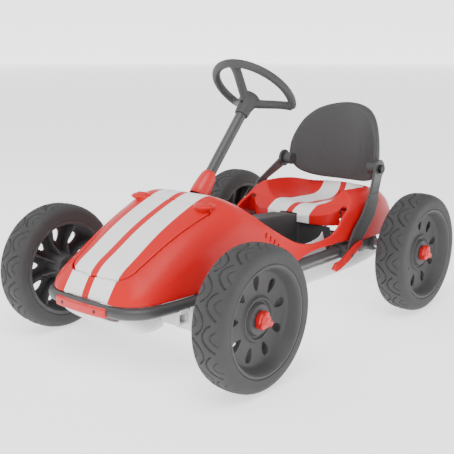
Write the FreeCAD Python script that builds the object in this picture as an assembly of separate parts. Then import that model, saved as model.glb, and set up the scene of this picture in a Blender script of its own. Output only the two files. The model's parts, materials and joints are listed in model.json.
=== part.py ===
import FreeCAD, Part
import math
import os

# Pedal go kart for a small child: tube hoop frame, moulded body, chain drive to the rear axle,
# steered front wheels, folding steering column and a sliding, folding backrest.
# Frame: origin on the ground under the middle of the kart, +X to the driver's left,
# -Y towards the nose, +Z up.  Millimetres.

V = FreeCAD.Vector
X_AXIS = V(1, 0, 0)
Y_AXIS = V(0, 1, 0)
Z_AXIS = V(0, 0, 1)

# ---------------------------------------------------------------- driving dimensions
WHEEL_RADIUS = 125.0
TYRE_HALF_WIDTH = 32.5
RIM_RADIUS = 95.0
HALF_TRACK = 249.0
FRONT_AXLE_Y = -260.0
REAR_AXLE_Y = 296.0
AXLE_Z = WHEEL_RADIUS

RAIL_RADIUS = 10.0
RAIL_X = 130.0
RAIL_Z = 131.0
HOOP_FRONT_Y = -406.0
HOOP_BEND = 57.0
HOOP_TAPER = math.radians(10.5)
HOOP_TAPER_RADIUS = 560.0
HOOP_BOW = math.radians(8)
RAIL_END_Y = 283.0

RUNNING_GAP = 0.05
SHELL_WALL = 4.0
LID_WALL = 2.8
BODY_BOTTOM_Z = 141.5

LIP_LOW_Z = 177.0
FLOOR_Z = 67.5

KINGPIN_X = 165.0
KINGPIN_Y = -276.0
KINGPIN_RADIUS = 4.0
KNUCKLE_ARM = 38.0
TIE_ROD_Z = 66.0
STUB_RADIUS = 6.0

COLUMN_POINT = V(0, -79, 317)
COLUMN_TILT = math.radians(48.4)
COLUMN_DIR = V(0, math.cos(COLUMN_TILT), math.sin(COLUMN_TILT))
PITMAN_AT = -294.7
PITMAN_LENGTH = 46.3
FOLD_AT = -46.0
SLEEVE_FROM = -46.0
SLEEVE_TO = -1.0
SLEEVE_RADIUS = 19.0
HUB_AT = 150.0
WHEEL_AT = 199.0
STEER_RIM_RADIUS = 84.0
STEER_RIM_TUBE = 8.5
RIM_END = -35.0

CRANK_Y = -70.0
CRANK_Z = 158.0
CRANK_LENGTH = 58.0
CRANK_ANGLE = math.radians(145)
RING_TEETH = 24
SPROCKET_TEETH = 14
CHAIN_PITCH = 12.7
TUNNEL_HALF = 22.0

PIVOT_X = 130.0
PIVOT_Y = 337.0
PIVOT_Z = 286.0
CLAMP_FROM_Y = 176.0
CLAMP_TO_Y = 210.0
LEVER_PIN_Y = 183.0
LEVER_PIN_Z = 124.0

HINGE_Y = -187.0
HINGE_Z = 280.5

# Body stations from nose to tail: (y, half width, crown height, squareness)
BODY_STATIONS = [
    (-403, 68, 146, 2.2),
    (-399, 82, 154, 2.1),
    (-390, 98, 169, 2.1),
    (-374, 112, 189, 2.1),
    (-344, 122, 208, 2.3),
    (-300, 127, 233, 2.7),
    (-250, 131, 257, 3.2),
    (-190, 134, 280, 3.8),
    (-152, 136, 288, 4.2),
    (-125, 137, 281, 4.2),
    (-100, 138, 271, 4.2),
    (-40, 138, 262, 4.2),
    (60, 139, 260, 4.2),
    (160, 141, 258, 4.2),
    (230, 145, 256, 4.2),
    (300, 147, 254, 4.0),
    (360, 144, 246, 3.6),
    (392, 134, 238, 3.2),
    (406, 118, 228, 3.0),
]

# Side view of the cockpit rim: (y, z)
RIM_LINE = [(-131, 279), (-117, 268), (-99, 253), (-78, 234), (-42, 209), (9, 182), (50, 169), (90, 165),
            (139, 170), (163, 183), (176, 196), (190, 206), (206, 214), (226, 235), (236, 262)]

# Seat pan on the centre line: (y, z)
SEAT_LINE = [(150, 172), (176, 193), (190, 203), (206, 209), (260, 204), (330, 200), (366, 201), (388, 211),
             (400, 229)]

# Plan of the seat's front lip: (x, y)
LIP_PLAN = [(0, 176), (60, 177), (90, 183), (108, 196), (116, 214)]


# ---------------------------------------------------------------- helpers
def save(name, *solids):
    shape = solids[0] if len(solids) == 1 else Part.Compound(list(solids))
    shape.exportStep("parts/%s.step" % name)


def mirrored(shape):
    return shape.mirror(V(0, 0, 0), X_AXIS)


def save_pair(name, shape):
    save(name + "_left", shape)
    save(name + "_right", mirrored(shape))


def box(x0, x1, y0, y1, z0, z1):
    return Part.makeBox(x1 - x0, y1 - y0, z1 - z0, V(x0, y0, z0))


def rod(start, end, radius):
    return Part.makeCylinder(radius, (end - start).Length, start, end - start)


def rod_x(x0, x1, y, z, radius):
    return Part.makeCylinder(radius, x1 - x0, V(x0, y, z), X_AXIS)


def tube_x(x0, x1, y, z, outer, inner):
    return rod_x(x0, x1, y, z, outer).cut(rod_x(x0 - 1, x1 + 1, y, z, inner))


def on_column(along, up=0.0):
    """A point at a distance along the steering column, moved square to it in the middle plane."""
    square = V(0, -math.sin(COLUMN_TILT), math.cos(COLUMN_TILT))
    return COLUMN_POINT + COLUMN_DIR * along + square * up


def side_plate(points, x0, x1):
    """A plate with the given side view, between two places along X."""
    corners = [V(x0, y, z) for y, z in points]
    face = Part.Face(Part.makePolygon(corners + corners[:1]))
    return face.extrude(V(x1 - x0, 0, 0))


def spline(points):
    curve = Part.BSplineCurve()
    curve.interpolate(points)
    return curve.toShape()


def tidy(shape):
    """The single solid in a boolean's result."""
    solids = sorted(shape.Solids, key=lambda s: s.Volume)
    return solids[-1]


# ---------------------------------------------------------------- frame and axle carriers
def hoop_path(side):
    """Half of the hoop's centre line from the rear end of one rail to the middle of the nose."""
    def at(centre, radius, heading):
        """The point on a left turning arc where the tube runs at a heading from straight forward."""
        return V(side * (centre.x + radius * math.cos(heading)), centre.y - radius * math.sin(heading), RAIL_Z)

    last = math.pi / 2 - HOOP_BOW
    taper_x = RAIL_X - HOOP_TAPER_RADIUS * (1 - math.cos(HOOP_TAPER))
    corner = V(taper_x - HOOP_BEND * math.cos(HOOP_TAPER), 0, 0)
    bow_radius = (corner.x + HOOP_BEND * math.cos(last)) / math.cos(last)
    corner.y = HOOP_FRONT_Y + bow_radius - (bow_radius - HOOP_BEND) * math.sin(last)
    taper_y = corner.y - HOOP_BEND * math.sin(HOOP_TAPER) + HOOP_TAPER_RADIUS * math.sin(HOOP_TAPER)
    taper = V(RAIL_X - HOOP_TAPER_RADIUS, taper_y, 0)
    bow = V(0, HOOP_FRONT_Y + bow_radius, 0)
    arcs = [(taper, HOOP_TAPER_RADIUS, 0, HOOP_TAPER), (corner, HOOP_BEND, HOOP_TAPER, last),
            (bow, bow_radius, last, math.pi / 2)]
    start = V(side * RAIL_X, taper_y, RAIL_Z)
    edges = [Part.LineSegment(V(side * RAIL_X, RAIL_END_Y, RAIL_Z), start).toShape()]
    for centre, radius, first, final in arcs:
        middle = (first + final) / 2
        edges.append(Part.Arc(at(centre, radius, first), at(centre, radius, middle),
                              at(centre, radius, final)).toShape())
    return edges


def hoop_solid(radius):
    halves = []
    for side in (1, -1):
        circle = Part.Wire(Part.makeCircle(radius, V(side * RAIL_X, RAIL_END_Y, RAIL_Z), Y_AXIS))
        halves.append(Part.Wire(hoop_path(side)).makePipeShell([circle], True, False))
    return halves[0].fuse(halves[1]).removeSplitter()


def frame_hoop():
    return tidy(hoop_solid(RAIL_RADIUS).cut(hoop_solid(RAIL_RADIUS - 1.5)))


def bumper_plate():
    """Curved guard bolted to the front of the hoop."""
    half_long, low_z, high_z, proud = 62.0, 122.0, 138.0, 15.0
    corner_x = RAIL_X - HOOP_BEND * 1.12
    bow_radius = corner_x / math.sin(HOOP_BOW)
    foot = V(0, HOOP_FRONT_Y + bow_radius, low_z)
    ring = Part.makeCylinder(bow_radius + proud, high_z - low_z, foot)
    ring = ring.cut(Part.makeCylinder(bow_radius + 2, high_z - low_z, foot))
    plate = ring.common(box(-half_long, half_long, HOOP_FRONT_Y - 20, HOOP_FRONT_Y + 20, 100, 160))
    ends = [e for e in plate.Edges if abs(abs(e.CenterOfMass.x) - half_long) < 1
            and abs(e.CenterOfMass.z - (low_z + high_z) / 2) < 1 and e.CenterOfMass.y < HOOP_FRONT_Y - 4]
    plate = plate.makeFillet(5, ends)
    face = [e for e in plate.Edges if e.Length > half_long and e.CenterOfMass.y < HOOP_FRONT_Y - 10]
    plate = plate.makeFillet(3, face)
    return tidy(plate.cut([hoop_solid(RAIL_RADIUS)] + bumper_screws()))


def bumper_screws():
    screws = []
    for x in (-40.6, 40.6):
        head = Part.makeCylinder(3.2, 2.0, V(x, -417.6, RAIL_Z), V(0, -1, 0))
        screws.append(head)
    return screws


def front_crossmember():
    bar = box(-132, 132, -312, -292, 98, 118.4)
    hollow = box(-140, 140, -309.5, -294.5, 100.5, 116)
    saddles = box(-137, 137, -312, -292, 118.4, 126)
    saddles = saddles.cut(box(-122, 122, -320, -280, 118, 130))
    rails = hoop_solid(RAIL_RADIUS)
    return bar.cut(hollow).fuse(saddles.cut(rails)).removeSplitter()


def kingpin_bracket():
    y0, y1 = KINGPIN_Y - 14, KINGPIN_Y + 14
    block = box(104, KINGPIN_X + 10, y0, y1, 84, 118.2)
    slot = box(150, KINGPIN_X + 20, y0 - 1, y1 + 1, 92, 110)
    web = box(120, 140, y0, y1, 118, 127).cut(hoop_solid(RAIL_RADIUS))
    rounded = block.makeFillet(6, [e for e in block.Edges
                                   if abs(e.CenterOfMass.x - KINGPIN_X - 10) < 0.1
                                   and abs(e.CenterOfMass.z - 101) < 1])
    hole = rod(V(KINGPIN_X, KINGPIN_Y, 80), V(KINGPIN_X, KINGPIN_Y, 122), KINGPIN_RADIUS)
    return rounded.cut(slot).fuse(web).cut(hole).removeSplitter()


def kingpins():
    shank = rod(V(KINGPIN_X, KINGPIN_Y, 80), V(KINGPIN_X, KINGPIN_Y, 119), KINGPIN_RADIUS)
    head = rod(V(KINGPIN_X, KINGPIN_Y, 118.2), V(KINGPIN_X, KINGPIN_Y, 122), 7)
    nut = rod(V(KINGPIN_X, KINGPIN_Y, 79), V(KINGPIN_X, KINGPIN_Y, 84), 6.5)
    pin = shank.fuse([head, nut]).removeSplitter()
    return pin, mirrored(pin)


def rear_carrier():
    body = rod(V(RAIL_X, 250, RAIL_Z), V(RAIL_X, 318, RAIL_Z), 15.5)
    ends = [e for e in body.Edges if abs(e.CenterOfMass.y - 318) < 0.1]
    body = body.makeFillet(5, ends)
    boss = rod_x(RAIL_X - 18, RAIL_X + 18, REAR_AXLE_Y, AXLE_Z, 14)
    body = body.fuse(boss)
    body = body.cut(rod(V(RAIL_X, 240, RAIL_Z), V(RAIL_X, RAIL_END_Y, RAIL_Z), RAIL_RADIUS))
    return body.cut(rod_x(100, 160, REAR_AXLE_Y, AXLE_Z, 10)).removeSplitter()


def rear_axle_bush():
    sleeve = tube_x(RAIL_X - 18, RAIL_X + 18, REAR_AXLE_Y, AXLE_Z, 10, 7 + RUNNING_GAP)
    collar = tube_x(RAIL_X + 18, RAIL_X + 20.5, REAR_AXLE_Y, AXLE_Z, 13, 7 + RUNNING_GAP)
    return sleeve.fuse(collar).removeSplitter()


def rear_bridge():
    """Bent strap over the axle: joins the carriers and props the seat."""
    low_z, top_z = 136.5, 186.0
    outer = box(-116.4, 116.4, 286, 306, low_z, top_z)
    strap = outer.cut(box(-112.4, 112.4, 280, 310, low_z - 1, top_z - 4))
    return tidy(strap.cut([rear_carrier(), mirrored(rear_carrier())]))


# ---------------------------------------------------------------- moulded body
def arch(y, half, crown, power, bottom):
    """A closed half round section, flatter on top as power grows."""
    points = []
    steps = 18
    for i in range(steps + 1):
        angle = math.pi * i / steps
        c, s = math.cos(angle), math.sin(angle)
        x = half * math.copysign(abs(c) ** (2 / power), c)
        z = bottom + (crown - bottom) * max(s, 0.0) ** (2 / power)
        points.append(V(x, y, z))
    return Part.Wire([spline(points), Part.LineSegment(points[-1], points[0]).toShape()])


def body_block(wall, bottom):
    """The body's outer form, shrunk on all sides by a wall."""
    sections = []
    for y, half, crown, power in BODY_STATIONS:
        lengthwise = -wall * y / 400.0
        top = crown - wall
        sections.append(arch(y + lengthwise, half - wall, top, power, bottom))
    return Part.makeLoft(sections, True, False)


def lid_prism(grow):
    """Plan outline of the hood lid as a tall prism, grown outwards by some millimetres."""
    front_y, bow_y, rear_y = -378 - grow, -382.5 - grow, HINGE_Y - 3 + grow
    front_x, rear_x, corner = 62 + grow, 96 + grow, 14.0
    side = [V(rear_x, rear_y, 0), V(front_x + corner * 0.9, front_y + 2.2 * corner, 0)]
    nose = V(front_x - 0.7 * corner, front_y, 0)
    bend = V(front_x + 0.25 * corner, front_y + 0.5 * corner, 0)
    right = [V(-p.x, p.y, p.z) for p in (nose, bend, side[1], side[0])]
    edges = [
        Part.LineSegment(side[0], side[1]).toShape(),
        Part.Arc(side[1], bend, nose).toShape(),
        Part.Arc(nose, V(0, bow_y, 0), right[0]).toShape(),
        Part.Arc(right[0], right[1], right[2]).toShape(),
        Part.LineSegment(right[2], right[3]).toShape(),
        Part.LineSegment(right[3], side[0]).toShape(),
    ]
    face = Part.Face(Part.Wire(edges))
    face.translate(V(0, 0, 150))
    return face.extrude(V(0, 0, 200))


def cockpit_opening():
    rim = [V(-200, y, z) for y, z in RIM_LINE]
    top = 400
    edges = [
        spline(rim),
        Part.LineSegment(rim[-1], V(-200, rim[-1].y, top)).toShape(),
        Part.LineSegment(V(-200, rim[-1].y, top), V(-200, rim[0].y, top)).toShape(),
        Part.LineSegment(V(-200, rim[0].y, top), rim[0]).toShape(),
    ]
    return Part.Face(Part.Wire(edges)).extrude(V(400, 0, 0))


def lower_edge_notch():
    """Long shallow cut that lifts the body's lower edge over the sliding clamps."""
    ends = [V(-200, 20, 140), V(-200, 70, 150.5), V(-200, 130, 152), V(-200, 190, 150.5), V(-200, 240, 140)]
    edges = [spline(ends), Part.LineSegment(ends[-1], ends[0]).toShape()]
    return Part.Face(Part.Wire(edges)).extrude(V(400, 0, 0))


def bucket(grow):
    """The hollow of the seat; grow makes the bigger form whose skin is the seat pan."""
    sections = []
    top, half, squareness, steps = 300.0, 109.0 + grow, 3.0, 16
    for y, z in SEAT_LINE:
        points = []
        for i in range(steps + 1):
            angle = math.pi * i / steps
            c, s = math.cos(angle), math.sin(angle)
            x = half * math.copysign(abs(c) ** (2 / squareness), c)
            points.append(V(x, y, top - (top - z + grow) * max(s, 0.0) ** (2 / squareness)))
        sections.append(Part.Wire([spline(points), Part.LineSegment(points[-1], points[0]).toShape()]))
    return Part.makeLoft(sections, True, False)


def lip_prism(inset, low, high):
    """The space behind the seat's curved front lip, between two heights."""
    half = [V(x, y + inset, low) for x, y in LIP_PLAN]
    curve = [V(-p.x, p.y, p.z) for p in half[:0:-1]] + half
    rear_y = 402.0
    corners = [curve[-1], V(200, curve[-1].y, low), V(200, rear_y, low), V(-200, rear_y, low),
               V(-200, curve[0].y, low), curve[0]]
    edges = [spline(curve)]
    for start, end in zip(corners, corners[1:]):
        edges.append(Part.LineSegment(start, end).toShape())
    return Part.Face(Part.Wire(edges)).extrude(V(0, 0, high - low))


def seat_shoulders(inner):
    """Skin that joins the seat to the body's sides just under the cockpit's edge."""
    skin = cockpit_opening()
    skin.translate(V(0, 3.0, -3.5))
    behind_lip = lip_prism(0, LIP_LOW_Z, 400).common(box(-200, 200, 170, 250, 100, 400))
    return skin.common(inner).common(behind_lip)


def body_parts():
    outer = body_block(0, BODY_BOTTOM_Z)
    inner = body_block(SHELL_WALL, BODY_BOTTOM_Z - 30)
    shell = outer.cut(inner)
    lid_inner = body_block(LID_WALL, BODY_BOTTOM_Z - 30)
    lid = tidy(outer.cut(lid_inner).common(lid_prism(0)))
    ledge_inner = body_block(SHELL_WALL + 3, BODY_BOTTOM_Z - 30)
    ledge = inner.cut(ledge_inner).common(lid_prism(7)).cut(lid_prism(-6))
    ledge = ledge.common(box(-200, 200, -420, HINGE_Y - 14, 100, 400))
    block = bucket(SHELL_WALL).common(inner).common(lip_prism(0, LIP_LOW_Z, 400))
    lip = lip_prism(0.01, LIP_LOW_Z, 208).cut(lip_prism(SHELL_WALL, LIP_LOW_Z - 1, 210)).common(inner)
    shell = shell.cut(lid_prism(1.2)).fuse([block, lip, seat_shoulders(inner)])
    shell = shell.cut(bucket(0).common(box(-200, 200, 170, 420, LIP_LOW_Z + 5, 400)))
    shell = shell.cut(cockpit_opening())
    shell = shell.cut(tunnel_outline(1.5, 170, 186))
    shell = shell.fuse(ledge)
    shell = shell.cut(lower_edge_notch())
    collar = Part.makeCylinder(23.5, 60, on_column(-75), COLUMN_DIR)
    shell = shell.cut(collar)
    shell = shell.cut(vent_slots())
    notch = box(76.4, 83.6, HINGE_Y - 5, HINGE_Y + 5, HINGE_Z - 6, HINGE_Z + 8)
    shell = shell.cut([notch, mirrored(notch)])
    for x in (70, 84):
        lug = hinge_lug(x, x + 6, 12)
        shell = shell.fuse([lug, mirrored(lug)])
    shell = shell.cut(hinge_rods(1.5))
    knuckle = hinge_lug(77, 83, -12)
    lid = lid.cut(hinge_clearance())
    lid = lid.fuse([knuckle, mirrored(knuckle)])
    lid = lid.cut(hinge_rods(1.5 + RUNNING_GAP))
    return tidy(shell), tidy(lid)


def hinge_rods(radius):
    left = rod_x(70, 90, HINGE_Y, HINGE_Z, radius)
    return left.fuse(mirrored(left))


def hinge_lug(x0, x1, reach):
    """An eye round the lid hinge pin with a foot that reaches into the moulding."""
    y, z = HINGE_Y, HINGE_Z
    eye = rod_x(x0, x1, y, z, 4.0)
    low, high = sorted((y, y + reach))
    if reach < 0:
        outline = [(low, z - 9), (y - 3, z - 9), (y - 3, z - 3), (y, z + 4), (low, z - 6)]
    else:
        outline = [(low, z - 9), (high, z - 9), (high, z - 5), (y, z + 4)]
    return eye.fuse(side_plate(outline, x0, x1)).removeSplitter()


def hinge_clearance():
    cuts = box(69.4, 76.6, HINGE_Y - 4.6, HINGE_Y + 6, HINGE_Z - 12, HINGE_Z + 8)
    cuts = cuts.fuse(box(83.4, 90.6, HINGE_Y - 4.6, HINGE_Y + 6, HINGE_Z - 12, HINGE_Z + 8))
    return cuts.fuse(mirrored(cuts))


def vent_slots():
    slots = None
    for i in range(4):
        y = -76 + 12 * i
        z = 211 - 8.2 * i
        slot = side_plate([(y - 5, z - 6), (y - 1, z - 6), (y + 4, z + 5), (y, z + 5)], 100, 160)
        slots = slot if slots is None else slots.fuse(slot)
    return slots.fuse(mirrored(slots))


def nose_pan():
    """Light belly moulding under the nose, an open tray."""
    def tray(wall):
        stations = [(-391, 74, 107), (-376, 88, 92), (-352, 93, 78), (-326, 91, 71), (-299, 86, 70)]
        sections = []
        for y, half, low in stations:
            sections.append(upturned(y, half - wall, low + wall, 117.0 + wall * 2, 4.5))
        return Part.makeLoft(sections, True, False)
    pan = tray(0).cut(tray(3.0))
    return tidy(pan.cut(box(-200, 200, -313, -200, 97.5, 130)))


def upturned(y, half, low, top, power):
    points = []
    steps = 14
    for i in range(steps + 1):
        angle = math.pi * i / steps
        c, s = math.cos(angle), math.sin(angle)
        x = half * math.copysign(abs(c) ** (2 / power), c)
        points.append(V(x, y, top - (top - low) * max(s, 0.0) ** (2 / power)))
    return Part.Wire([spline(points), Part.LineSegment(points[-1], points[0]).toShape()])


def floor_pan():
    """Light floor tray from behind the steering to the tail."""
    def tray(wall):
        stations = [(-205, 104, 70), (-150, 117, 67), (-40, 121, 66), (120, 121, 66), (300, 121, 67),
                    (392, 112, 74)]
        sections = []
        for y, half, low in stations:
            lengthwise = -wall * (y - 93) / 299.0
            sections.append(upturned(y + lengthwise, half - wall, low + wall, 113.0 + wall * 2, 6.0))
        return Part.makeLoft(sections, True, False)
    pan = tray(0).cut(tray(4.0))
    pan = pan.common(box(-200, 200, -300, 400, FLOOR_Z, 200))
    pan = pan.cut(box(-200, 200, 276, 316, 107, 130))
    return tidy(pan)


def tunnel_outline(grow, front_y, rear_y):
    """Outer form of the drive housing between two stations, grown by some millimetres."""
    top = [(-134, 196), (-116, 219), (-22, 219), (42, 206), (150, 199), (174, 194), (282, 190)]
    side = [(-134 - grow, 71.6)] + [(y, z + grow) for y, z in top] + [(282 + grow, 71.6)]
    side[1] = (-134 - grow, side[1][1])
    side[-2] = (282 + grow, side[-2][1])
    half = TUNNEL_HALF + grow
    return side_plate(side, -half, half).common(box(-60, 60, front_y, rear_y, 60, 300))


def drive_tunnel():
    """Dark housing along the middle that covers the chain and carries the crank."""
    outer = tunnel_outline(0, -200, 282)
    top_edges = [e for e in outer.Edges if abs(abs(e.CenterOfMass.x) - TUNNEL_HALF) < 0.1
                 and e.CenterOfMass.z > 188]
    outer = outer.makeFillet(3, top_edges)
    bulkhead = box(-104, 104, 184, 188, 84, 176)
    outer = outer.fuse(bulkhead)
    inner = tunnel_outline(-3, -200, 282).fuse(box(-19, 19, 270, 290, 71.6, 187))
    return tidy(outer.cut(inner).cut(rod_x(-30, 30, CRANK_Y, CRANK_Z, 9)))


def crank_bushes():
    left = tube_x(TUNNEL_HALF - 3.5, TUNNEL_HALF + 2, CRANK_Y, CRANK_Z, 9, 6 + RUNNING_GAP)
    return left, mirrored(left)


# ---------------------------------------------------------------- chain drive
def pitch_radius(teeth):
    return CHAIN_PITCH / (2 * math.sin(math.pi / teeth))


def toothed_wheel(teeth, y, z, bore, thickness):
    root = pitch_radius(teeth) - 3.8
    tip = pitch_radius(teeth) + 3.0
    points = []
    for i in range(teeth):
        base = 2 * math.pi * i / teeth
        for share, radius in ((-0.30, root), (-0.10, tip), (0.10, tip), (0.30, root)):
            angle = base + share * 2 * math.pi / teeth
            points.append(V(-thickness / 2, y + radius * math.cos(angle), z + radius * math.sin(angle)))
    face = Part.Face(Part.makePolygon(points + points[:1]))
    disc = face.extrude(V(thickness, 0, 0))
    return disc.cut(rod_x(-20, 20, y, z, bore))


def chain():
    """The drive chain as one closed band that stands just clear of the tooth tips."""
    def loop(extra, half_width):
        r1 = pitch_radius(RING_TEETH) + 3.4 + extra
        r2 = pitch_radius(SPROCKET_TEETH) + 3.4 + extra
        a, b = (CRANK_Y, CRANK_Z), (REAR_AXLE_Y, AXLE_Z)
        span = math.hypot(b[0] - a[0], b[1] - a[1])
        slope = math.atan2(b[1] - a[1], b[0] - a[0])
        lean = math.acos((r1 - r2) / span)

        def at(centre, radius, angle):
            return V(-half_width, centre[0] + radius * math.cos(angle), centre[1] + radius * math.sin(angle))
        up, down = slope + lean, slope - lean
        edges = [
            Part.LineSegment(at(a, r1, up), at(b, r2, up)).toShape(),
            Part.Arc(at(b, r2, up), at(b, r2, slope), at(b, r2, down)).toShape(),
            Part.LineSegment(at(b, r2, down), at(a, r1, down)).toShape(),
            Part.Arc(at(a, r1, down), at(a, r1, slope + math.pi), at(a, r1, up)).toShape(),
        ]
        return Part.Face(Part.Wire(edges)).extrude(V(2 * half_width, 0, 0))
    return loop(4.5, 3.5).cut(loop(0, 5))


def crank_point(sign):
    """Pedal spindle centre for one side: the two cranks are opposite."""
    angle = CRANK_ANGLE if sign > 0 else CRANK_ANGLE + math.pi
    return CRANK_Y + CRANK_LENGTH * math.cos(angle), CRANK_Z + CRANK_LENGTH * math.sin(angle)


def crankshaft():
    shape = rod_x(-33, 33, CRANK_Y, CRANK_Z, 6)
    for sign in (1, -1):
        y, z = crank_point(sign)
        x0, x1 = (27, 33) if sign > 0 else (-33, -27)
        hub = rod_x(x0, x1, CRANK_Y, CRANK_Z, 12)
        eye = rod_x(x0, x1, y, z, 10)
        along = V(0, y - CRANK_Y, z - CRANK_Z)
        arm = Part.makeBox(6, CRANK_LENGTH, 16, V(0, 0, -8))
        arm.rotate(V(0, 0, 0), X_AXIS, math.degrees(math.atan2(along.z, along.y)))
        arm.translate(V(x0, CRANK_Y, CRANK_Z))
        s0, s1 = (30, 98) if sign > 0 else (-98, -30)
        spindle = rod_x(s0, s1, y, z, 5)
        cap = rod_x(*((98, 101) if sign > 0 else (-101, -98)), y, z, 7)
        shape = shape.fuse([hub, eye, arm, spindle, cap])
    return shape.removeSplitter()


def pedal(sign):
    y, z = crank_point(sign)
    x0, x1 = (36, 97.6) if sign > 0 else (-97.6, -36)
    block = box(x0, x1, y - 22, y + 22, z - 8.5, z + 8.5)
    block = block.makeFillet(3, block.Edges)
    for i in range(5):
        groove_y = y - 16 + 8 * i
        for face_z in (z - 9.5, z + 7.3):
            block = block.cut(box(x0 + 5, x1 - 5, groove_y - 1.2, groove_y + 1.2, face_z, face_z + 2.2))
    return tidy(block.cut(rod_x(-120, 120, y, z, 5 + RUNNING_GAP)))


# ---------------------------------------------------------------- wheels
def turned(profile, x, y, z):
    """A solid of revolution about an axle: profile is a list of (offset along +X, radius)."""
    corners = [V(a, 0, r) for a, r in profile]
    face = Part.Face(Part.makePolygon(corners + corners[:1]))
    solid = face.revolve(V(0, 0, 0), X_AXIS, 360)
    solid.translate(V(x, y, z))
    return solid


def tyre(y):
    w, r = TYRE_HALF_WIDTH, WHEEL_RADIUS
    outline = [(-w, RIM_RADIUS), (-w, 0.87 * r), (-0.93 * w, 0.922 * r), (-0.8 * w, 0.961 * r),
               (-0.55 * w, 0.987 * r), (0, r), (0.55 * w, 0.987 * r), (0.8 * w, 0.961 * r),
               (0.93 * w, 0.922 * r), (w, 0.87 * r), (w, RIM_RADIUS)]
    return turned(outline, HALF_TRACK, y, AXLE_Z)


def rim(y, bore):
    """Dished plastic rim: barrel, web with nine windows, and a stepped hub."""
    w, r = TYRE_HALF_WIDTH, RIM_RADIUS
    outline = [(-w + 1, r), (-w + 1, r - 5), (4, r - 9), (4, 32), (-30, 26), (-30, bore), (16, bore),
               (16, 20), (10, 24), (10, 33), (9, 36), (8, r - 20), (w - 4, r - 12), (w, r - 6), (w, r)]
    body = turned(outline, HALF_TRACK, y, AXLE_Z)
    for i in range(9):
        angle = 2 * math.pi * i / 9
        cy, cz = y + 60 * math.cos(angle), AXLE_Z + 60 * math.sin(angle)
        slot = rod_x(HALF_TRACK - 40, HALF_TRACK + 40, cy, cz, 10.5)
        out_y, out_z = y + 66 * math.cos(angle), AXLE_Z + 66 * math.sin(angle)
        slot = slot.fuse(rod_x(HALF_TRACK - 40, HALF_TRACK + 40, out_y, out_z, 8))
        body = body.cut(slot)
    return tidy(body)


def hub_cap(y, bore, depth):
    """Red cap on the axle end with three lobes."""
    x = HALF_TRACK + 16.3
    cap = rod_x(x, x + 10, y, AXLE_Z, 15)
    step = rod_x(x + 10, x + 15, y, AXLE_Z, 12)
    centre = rod_x(x + 15, x + 19, y, AXLE_Z, 6)
    shape = cap.fuse([step, centre])
    for i in range(3):
        angle = math.radians(90 + 120 * i)
        lobe = rod_x(x + 2, x + 13, y + 12 * math.cos(angle), AXLE_Z + 12 * math.sin(angle), 6)
        shape = shape.fuse(lobe)
    return shape.removeSplitter().cut(rod_x(x - 1, x + depth, y, AXLE_Z, bore))


def rear_axle():
    end = HALF_TRACK + 16.3 + 8
    return rod_x(-end, end, REAR_AXLE_Y, AXLE_Z, 7)


# ---------------------------------------------------------------- steering
def steering_shaft():
    """Lower column: tube from the pitman arm up to the fold joint, with its tongue."""
    shape = rod(on_column(PITMAN_AT), on_column(FOLD_AT - 14), 8)
    collar = rod(on_column(FOLD_AT - 24), on_column(FOLD_AT - 11), 11)
    tongue = fold_cheek(-5, 5, -12, 9)
    shape = shape.fuse([collar, tongue])
    return shape.cut(rod_x(-30, 30, on_column(FOLD_AT).y, on_column(FOLD_AT).z, 3)).removeSplitter()


def fold_cheek(x0, x1, low, radius):
    """A flat ear round the fold pin that runs along the column from low to the pin."""
    centre = on_column(FOLD_AT)
    eye = rod_x(x0, x1, centre.y, centre.z, radius)
    bar = Part.makeBox(x1 - x0, abs(low), 2 * radius, V(0, 0 if low > 0 else low, -radius))
    bar.rotate(V(0, 0, 0), X_AXIS, math.degrees(COLUMN_TILT))
    bar.translate(V(x0, centre.y, centre.z))
    return eye.fuse(bar)


def fold_pin():
    centre = on_column(FOLD_AT)
    return rod_x(-12.5, 12.5, centre.y, centre.z, 3)


def pitman_arm():
    shaft_end = on_column(PITMAN_AT)
    square = V(0, math.sin(COLUMN_TILT), -math.cos(COLUMN_TILT))
    end = shaft_end + square * PITMAN_LENGTH
    thick = 5.0
    hub = rod(shaft_end - COLUMN_DIR * thick, shaft_end, 11)
    bar = Part.makeBox(20, PITMAN_LENGTH, thick, V(-10, 0, -thick))
    bar.rotate(V(0, 0, 0), X_AXIS, math.degrees(COLUMN_TILT) - 90)
    bar.translate(shaft_end)
    tip = rod(end - COLUMN_DIR * thick, end, 10)
    shape = hub.fuse([bar, tip])
    for x in (-6, 6):
        ball_at = V(x, end.y, TIE_ROD_Z)
        shape = shape.fuse(rod(ball_at - V(0, 0, 5), ball_at + V(0, 0, 6), 2))
    return shape.removeSplitter()


def column_bearing():
    """Lower guide of the steering shaft, bolted to the crossmember."""
    ring = rod(on_column(-262), on_column(-240), 13)
    foot = box(-12, 12, -300, -258, 118.4, 124)
    shape = ring.fuse(foot)
    return tidy(shape.cut(rod(on_column(-300), on_column(-200), 8 + RUNNING_GAP)))


def column_bracket():
    """Upper guide of the steering shaft, standing on the chain housing."""
    ring = rod(on_column(-118), on_column(-98), 13)
    leg = side_plate([(-140, 205), (-134, 190), (-100, 190), (-100, 226), (-128, 250), (-150, 236)], -9, 9)
    shape = ring.fuse(leg).cut(tunnel_outline(0, -200, 282))
    return tidy(shape.cut(rod(on_column(-160), on_column(-60), 8 + RUNNING_GAP)))


def steering_column():
    shape = rod(on_column(FOLD_AT + 12), on_column(HUB_AT), 10.5)
    shape = shape.fuse([fold_cheek(5.6, 10.0, 14, 9), fold_cheek(-10.0, -5.6, 14, 9)])
    shape = shape.cut(fold_cheek(-5.6, 5.6, 1, 9.8))
    centre = on_column(FOLD_AT)
    return tidy(shape.cut(rod_x(-30, 30, centre.y, centre.z, 3 + RUNNING_GAP)))


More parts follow.
